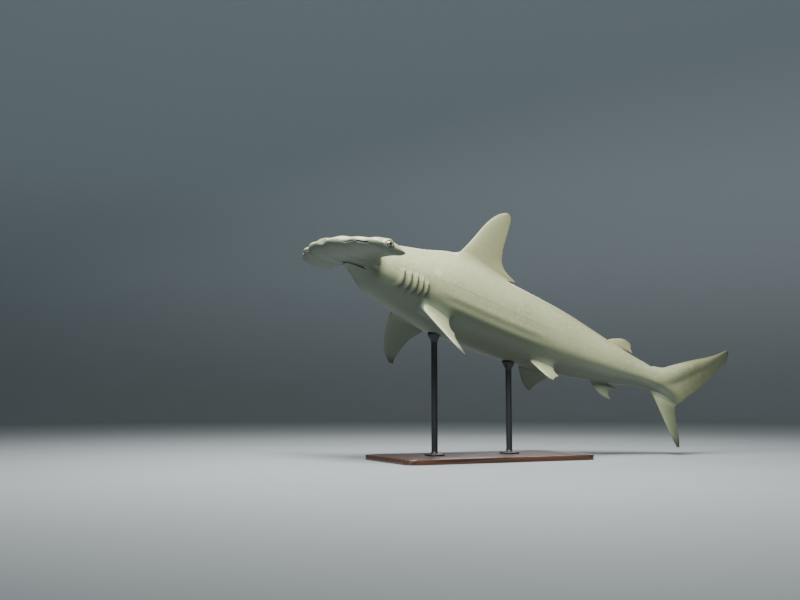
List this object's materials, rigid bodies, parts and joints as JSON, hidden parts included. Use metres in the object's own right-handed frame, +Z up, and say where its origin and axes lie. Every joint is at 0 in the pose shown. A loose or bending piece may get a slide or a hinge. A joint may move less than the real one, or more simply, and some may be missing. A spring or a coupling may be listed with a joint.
{
  "type": "hammerhead shark model",
  "caption": "Life-size scalloped hammerhead shark, swimming with its nose raised and its tail swung, held over a flat base by two short rods.",
  "frame": {"origin": "centre of the underside of the stand's base, on the floor", "axes": "+Z up, -X towards the shark's snout, +Y towards the shark's right side"},
  "size_m": [2.3456, 0.7702, 1.1639],
  "materials": {
    "shark_skin": "smooth grey-olive back shading to a white belly, satin, with faint lengthwise folds",
    "eye": "wet, glossy, dark pupil in a pale ring",
    "stand_wood": "dark satin lacquer",
    "stand_steel": "fine black powder coat"
  },
  "bodies": {
    "root": {"head": "shark_skin", "gill_region": "shark_skin", "trunk_front": "shark_skin", "trunk_rear": "shark_skin", "tail_stock": "shark_skin", "caudal_fin_upper": "shark_skin", "caudal_fin_lower": "shark_skin", "first_dorsal_fin": "shark_skin", "second_dorsal_fin": "shark_skin", "anal_fin": "shark_skin", "pectoral_fin_left": "shark_skin", "pectoral_fin_right": "shark_skin", "pelvic_fin_left": "shark_skin", "pelvic_fin_right": "shark_skin", "eye_left": "eye", "eye_right": "eye", "stand_base": "stand_wood", "stand_rod_front": "stand_steel", "stand_rod_rear": "stand_steel"}
  },
  "joints": []
}
